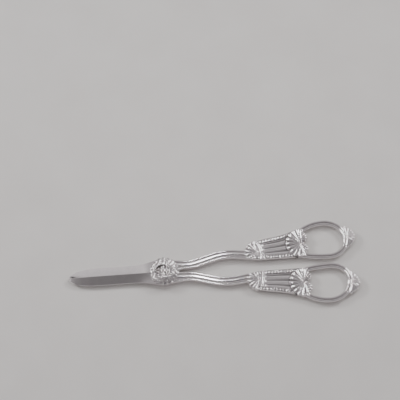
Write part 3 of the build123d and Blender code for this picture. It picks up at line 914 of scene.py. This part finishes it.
def face_height(u, v):
    """Height of the lion's face over the mask's base. u runs to the crown of the head and v across it."""
    side = np.abs(v)
    height = 2.35 * np.sqrt(np.clip(1 - (u / 7.4) ** 2 - (v / 5.8) ** 2, 0, None))
    for rise, *place_and_size in face_ovals:
        height += rise * oval(u, v, *place_and_size)
    down_nose = np.clip(-u, 0, 2.4)
    along_nose = smooth_step(u, -2.45, -2.15) * (1 - smooth_step(u, 0.4, 2.0))
    across_nose = np.exp(-((v / (0.88 + 0.20 * down_nose)) ** 4))
    height += (0.62 + 0.16 * down_nose) * along_nose * across_nose
    cleft = smooth_step(u, -4.0, -3.8) * (1 - smooth_step(u, -2.6, -2.4))
    height -= 0.72 * bump(v, 0.13) * cleft
    mouth = u + 3.98 + 0.26 * np.sin(math.pi * np.clip(side / 2.5, 0, 1))
    height -= 0.55 * bump(mouth, 0.11) * (1 - smooth_step(side, 2.0, 2.7))
    upper_lid = u - 0.86 + 0.16 * (side - 1.2) ** 2
    lower_lid = u - 0.08 - 0.26 * (side - 1.7) ** 2
    height += 0.26 * bump(upper_lid, 0.11) * bump(side - 1.7, 0.66)
    height += 0.12 * bump(lower_lid, 0.10) * bump(side - 1.7, 0.58)
    for row in whisker_rows:
        for column in whisker_columns:
            height -= 0.10 * oval(u, v, row, column + 0.1 * math.cos(row * 3), 0.08, 0.08)
    return height


def round_relief(centre, size_u, size_v, height_at, directions=220, rings=84):
    """A disc with relief over the mask's base, from a function of x, y and the share of its radius."""
    angle = (2 * math.pi * np.arange(directions) / directions)[None]
    out = np.linspace(0.004, 1, rings)[:, None]
    x = centre[0] + size_u * out * np.cos(angle)
    y = centre[1] + size_v * out * np.sin(angle)
    height = np.clip(height_at(x, y, out), 0.05, mask_top)
    # Points that lie lower than their neighbours get a hollow: painted shade, with tarnish, in the relief's
    # dips.
    around = (np.roll(height, 4, 1) + np.roll(height, -4, 1)) / 2
    padded = np.pad(height, ((4, 4), (0, 0)), mode="edge")
    around = (around + (padded[8:] + padded[:-8]) / 2) / 2
    hollow = smooth_step(around - height, 0.004, 0.07)
    top = np.stack([x, y, mask_base + height], axis=2).reshape(-1, 3)
    base = np.stack([x[-1], y[-1], np.full(directions, mask_base + 0.01)], axis=1)
    count = len(top)
    faces = grid_faces(rings, directions, wrap=True)
    last = (rings - 1) * directions
    for index in range(directions):
        after = (index + 1) % directions
        faces.append((last + index, last + after, count + after, count + index))
    faces.append(tuple(range(count, count + directions))[::-1])
    faces.append(tuple(range(directions)))
    hollows = np.concatenate([hollow.reshape(-1), np.zeros(directions)])
    return outward((np.concatenate([top, base]), faces, hollows))


def face_form():
    """The lion's face, which sinks into the mane round its edge and has less tarnish and painted shade
    there.
    """
    size_u = face_half_length * 1.04
    size_v = face_half_width * 1.04

    def height_at(x, y, out):
        return face_height(x, y) * (1 - 0.35 * smooth_step(out, 0.90, 1.0))
    points, faces, hollows = round_relief(face_centre, size_u, size_v, height_at)
    out = np.hypot((points[:, 0] - face_centre[0]) / size_u, (points[:, 1] - face_centre[1]) / size_v)
    return points, faces, hollows * (1 - 0.75 * smooth_step(out, 0.78, 0.92))


def mane_bed_form():
    """The low disc under the mane, sunk under the face so that it doesn't fill the eyes."""
    def height_at(x, y, out):
        share = np.hypot((x - face_centre[0]) / face_half_length, (y - face_centre[1]) / face_half_width)
        dome = mane_bed_height * np.sqrt(np.clip(1 - (out * 0.97) ** 2, 0, None))
        return dome * (0.25 + 0.75 * smooth_step(share, 0.66, 0.86))
    points, faces, hollows = round_relief((0, 0), mane_bed_reach, mane_bed_reach, height_at, 120, 40)
    # The bed is darkened evenly: painted shade under the locks, with tarnish.
    return points, faces, np.full(len(hollows), mane_bed_shade_and_tarnish)


def lock_form(root, tip_reach, hand, high, low, half_width):
    """A lock of the mane, rooted at a point: it leans, swings back and ends in a hooked tip."""
    steps = 30
    share = np.linspace(0, 1, steps)
    direction = math.atan2(root[1], root[0])
    length = max(tip_reach - math.hypot(*root), 1.3) * 1.28
    heading = direction + hand * np.radians(lock_lean + lock_swing * share + lock_hook * share ** 4)
    step = length / (steps - 1)
    x = root[0] + np.concatenate([[0], np.cumsum(np.cos(heading[:-1]) * step)])
    y = root[1] + np.concatenate([[0], np.cumsum(np.sin(heading[:-1]) * step)])
    swell = np.sin(math.pi * (0.12 + 0.86 * share) ** 0.9) ** 0.8
    radii = half_width * (0.10 + 0.90 * swell)
    z = mask_base + high + (low - high) * smooth_step(share, 0.0, 0.95)
    z = z + 0.20 * smooth_step(share, 0.7, 1.0)
    return tube_form(np.stack([x, y, z], axis=1), radii, twist=hand * 0.9)


def ear_form(side):
    """A small round ear with a hollow, set among the locks."""
    def height_at(x, y, out):
        return 3.25 * np.sqrt(np.clip(1 - 0.8 * out ** 2, 0, None)) + 0.3 - 1.3 * bump(out, 0.45) + 0 * x
    return round_relief((ear_place[0], side * ear_place[1]), *ear_size, height_at, 48, 20)


def mask_form():
    """Lion's mask: the face, two ears and rings of curled locks, with a forelock between the ears."""
    forms = [mane_bed_form(), face_form(), ear_form(1), ear_form(-1)]
    for ring, (count, root_share, tip_reach, high, low, half_width) in enumerate(mane_rings):
        for index in range(count):
            turn = 2 * math.pi * (index + 0.5 * (ring % 2)) / count
            root_x = face_centre[0] + root_share * face_half_length * math.cos(turn)
            root_y = root_share * face_half_width * math.sin(turn)
            if ring == 2 and math.hypot(root_x - ear_place[0], abs(root_y) - ear_place[1]) < ear_room:
                continue
            sway = math.sin(turn)
            hand = 0 if abs(sway) < 0.05 else math.copysign(1, sway)
            forms.append(lock_form((root_x, root_y), tip_reach, hand, high, low, half_width))
    for root_y in forelock_roots:
        root = (2.15 - 0.12 * root_y ** 2, root_y)
        forms.append(lock_form(root, forelock_reach, np.sign(root_y), *forelock_levels, forelock_half_width))
    return join(forms)


def new_material(name):
    """A material with nodes, its tree and its surface shader."""
    material = bpy.data.materials.new(name)
    material.use_nodes = True
    return material, material.node_tree, material.node_tree.nodes["Principled BSDF"]


def noise(tree, scale, detail=3.0, stretch=(1, 1, 1)):
    """Noise over the object's own coordinates, stretched by a scale for each axis."""
    place_node = tree.nodes.new("ShaderNodeTexCoord")
    mapping = tree.nodes.new("ShaderNodeMapping")
    mapping.inputs["Scale"].default_value = stretch
    texture = tree.nodes.new("ShaderNodeTexNoise")
    texture.inputs["Scale"].default_value = scale
    texture.inputs["Detail"].default_value = detail
    tree.links.new(place_node.outputs["Object"], mapping.inputs["Vector"])
    tree.links.new(mapping.outputs["Vector"], texture.inputs["Vector"])
    return texture.outputs["Fac"]


def spread(tree, value, low, high, from_low=0.3, from_high=0.7):
    """A value mapped from one range onto another."""
    node = tree.nodes.new("ShaderNodeMapRange")
    node.inputs["From Min"].default_value = from_low
    node.inputs["From Max"].default_value = from_high
    node.inputs["To Min"].default_value = low
    node.inputs["To Max"].default_value = high
    tree.links.new(value, node.inputs["Value"])
    return node.outputs["Result"]


def maths(tree, operation, first, second):
    """A maths node of two sockets, or of a socket and a number."""
    node = tree.nodes.new("ShaderNodeMath")
    node.operation = operation
    tree.links.new(first, node.inputs[0])
    if isinstance(second, float):
        node.inputs[1].default_value = second
    else:
        tree.links.new(second, node.inputs[1])
    return node.outputs["Value"]


def blend_colours(tree, share, first, second):
    """A colour between two, by a share from 0 to 1."""
    node = tree.nodes.new("ShaderNodeMix")
    node.data_type = "RGBA"
    node.inputs["A"].default_value = (*first, 1)
    node.inputs["B"].default_value = (*second, 1)
    tree.links.new(share, node.inputs["Factor"])
    return [socket for socket in node.outputs if socket.type == "RGBA"][0]


def add_relief(tree, shader, height, strength, depth_m):
    """Fine relief on a surface, from the socket of a height."""
    relief = tree.nodes.new("ShaderNodeBump")
    relief.inputs["Strength"].default_value = strength
    relief.inputs["Distance"].default_value = depth_m
    tree.links.new(height, relief.inputs["Height"])
    tree.links.new(relief.outputs["Normal"], shader.inputs["Normal"])


def silver(name, bright, dark, low_rough, high_rough, scratch):
    """Polished silver: tarnish and painted shade in its hollows, tarnish in faint clouds, and fine scratches
    from the cloth.
    """
    material, tree, shader = new_material(name)
    attribute = tree.nodes.new("ShaderNodeAttribute")
    attribute.attribute_name = "hollow"
    cloud = spread(tree, noise(tree, 260, 4), 0.0, 0.08)
    grain = spread(tree, noise(tree, 2600, 2), 0.75, 1.15)
    # The hollow attribute darkens the colour: painted shade in creases, grooves and under parts, mixed with
    # tarnish.
    tarnish_and_shade = maths(tree, "MULTIPLY", attribute.outputs["Fac"], grain)
    tarnish_and_shade = maths(tree, "MAXIMUM", tarnish_and_shade, cloud)
    tarnish_and_shade = maths(tree, "MINIMUM", tarnish_and_shade, 1.0)
    tree.links.new(blend_colours(tree, tarnish_and_shade, bright, dark), shader.inputs["Base Color"])
    shader.inputs["Metallic"].default_value = 1.0
    wiped = spread(tree, noise(tree, 900, 5, (1, 4, 1)), low_rough, high_rough)
    rough = maths(tree, "ADD", wiped, maths(tree, "MULTIPLY", tarnish_and_shade, 0.22))
    tree.links.new(rough, shader.inputs["Roughness"])
    add_relief(tree, shader, noise(tree, 1500, 6, (1, 9, 3)), scratch, 0.00002)
    return material


def ground_steel():
    """Steel ground across its edge, with fine straight lines."""
    material, tree, shader = new_material("ground_steel")
    lines = noise(tree, 900, 4, (1, 0.05, 0.05))
    colour = blend_colours(tree, spread(tree, lines, 0, 1), *steel_colours)
    tree.links.new(colour, shader.inputs["Base Color"])
    shader.inputs["Metallic"].default_value = 1.0
    tree.links.new(spread(tree, lines, 0.22, 0.38), shader.inputs["Roughness"])
    add_relief(tree, shader, lines, 0.25, 0.00003)
    return material


def dress_solid(name, material, bevel_mm):
    """A solid that stays as it is, with its edges softened and a finish of its own."""
    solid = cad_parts[name]
    solid.data.materials.clear()
    solid.data.materials.append(material)
    weld = solid.modifiers.new("weld", "WELD")
    weld.merge_threshold = 0.000002
    bevel = solid.modifiers.new("soft_edges", "BEVEL")
    bevel.width = bevel_mm * MM
    bevel.segments = 2
    bevel.limit_method = "ANGLE"
    bevel.angle_limit = math.radians(28)
    bevel.harden_normals = True


def add_floor():
    """Plain pale floor, just under the shears."""
    mesh = bpy.data.meshes.new("floor")
    signs = [(-1, -1), (1, -1), (1, 1), (-1, 1)]
    corners = [(x * floor_reach_m, y * floor_reach_m, -floor_drop_m) for x, y in signs]
    mesh.from_pydata(corners, [], [(0, 1, 2, 3)])
    material, tree, shader = new_material("pale_floor")
    tint = spread(tree, noise(tree, 30, 3), 0, 1)
    tree.links.new(blend_colours(tree, tint, *floor_colours), shader.inputs["Base Color"])
    shader.inputs["Roughness"].default_value = 0.8
    mesh.materials.append(material)
    floor = bpy.data.objects.new("floor", mesh)
    bpy.context.scene.collection.objects.link(floor)


def add_light(name, place_m, aim_m, size_m, power):
    """A soft lamp that points at a place."""
    data = bpy.data.lights.new(name, "AREA")
    data.shape = "RECTANGLE"
    data.size, data.size_y = size_m
    data.energy = power
    lamp = bpy.data.objects.new(name, data)
    lamp.location = place_m
    lamp.rotation_mode = "QUATERNION"
    lamp.rotation_quaternion = (Vector(aim_m) - Vector(place_m)).to_track_quat("-Z", "Y")
    bpy.context.scene.collection.objects.link(lamp)


def add_world():
    """A studio of light and dark bands round a grey patch overhead, which leans away from the light side."""
    world = bpy.data.worlds.new("studio")
    bpy.context.scene.world = world
    world.use_nodes = True
    tree = world.node_tree
    place_node = tree.nodes.new("ShaderNodeTexCoord")
    towards = tree.nodes.new("ShaderNodeVectorMath")
    towards.operation = "DOT_PRODUCT"
    towards.inputs[1].default_value = Vector(room_patch_towards).normalized()
    tree.links.new(place_node.outputs["Generated"], towards.inputs[0])
    ramp = tree.nodes.new("ShaderNodeValToRGB")
    stops = ramp.color_ramp.elements
    for position, _ in room_bands[2:]:
        stops.new(position)
    for stop, (position, grey) in zip(stops, room_bands):
        stop.position = position
        stop.color = (*[grey * tint for tint in room_tint], 1)
    tree.links.new(towards.outputs["Value"], ramp.inputs["Fac"])
    background = tree.nodes["Background"]
    tree.links.new(ramp.outputs["Color"], background.inputs["Color"])
    background.inputs["Strength"].default_value = room_strength


def add_camera():
    """Camera at the photograph's angle, placed so that the origin falls where it does in the photograph."""
    data = bpy.data.cameras.new("camera")
    data.sensor_fit = "HORIZONTAL"
    data.sensor_width = sensor_mm
    data.lens = focal_px / frame_px * sensor_mm
    camera = bpy.data.objects.new("camera", data)
    flat = math.cos(camera_elevation)
    sine, cosine = math.sin(camera_azimuth), math.cos(camera_azimuth)
    back = Vector((sine * flat, -cosine * flat, math.sin(camera_elevation)))
    right = Vector((cosine, sine, 0))
    up = back.cross(right)
    offset_x = (origin_px[0] - frame_px / 2) / px_per_mm * MM
    offset_y = (frame_px / 2 - origin_px[1]) / px_per_mm * MM
    camera.location = back * (focal_px / px_per_mm * MM) - right * offset_x - up * offset_y
    camera.rotation_mode = "QUATERNION"
    camera.rotation_quaternion = (-back).to_track_quat("-Z", "Y")
    bpy.context.scene.collection.objects.link(camera)
    bpy.context.scene.camera = camera


def add_blades(polished):
    """Both blades with their lap plates and the shanks' roots."""
    root = back_root_form()
    back = join([blade_form(cutting_ring, cutting_tip_share), back_plate_form(), root])
    turned = mirrored(mirrored(join([front_plate_form(), root]), 1), 2, joint_z)
    front = join([blade_form(holding_ring, holding_tip_share), turned])
    for half, form in (("back", back), ("front", front)):
        node = half + "_blade"
        stand_in(node + "_forged", node, form, polished, half, blade_crease_angle)


def add_handles(polished, chased):
    """Shanks, panels, bows and shells of both halves."""
    forms = {
        "neck_shell": neck_shell_form(),
        "bow_shell": bow_shell_form(),
        "end_shell": end_shell_form(),
    }
    shank = shank_form()
    bow = bow_form()
    panel = panel_form()
    for half in ("back", "front"):
        place("reeded_shank", "shank", shank, polished, half)
        place("reeded_bow", "bow", bow, polished, half)
        place("fluted_panel", "panel", panel, chased, half)
        for name, form in forms.items():
            under = mirrored(form, 2, joint_z)
            place(name + "_top", name + "_face", form, chased, half)
            place(name + "_under", name + "_reverse", under, chased, half)


def main():
    """Builds the shears, their floor, light and camera."""
    polished = silver("polished_silver", *polished_finish)
    chased = silver("chased_silver", *chased_finish)
    steel = ground_steel()
    add_handles(polished, chased)
    stand_in("lion_mask_chased", "lion_mask", mask_form(), chased, "front")
    add_blades(polished)
    for name, bevel_mm in steel_solids.items():
        dress_solid(name, steel, bevel_mm)
    add_floor()
    add_world()
    for name, lamp in lamps.items():
        add_light(name, *lamp)
    add_camera()


main()
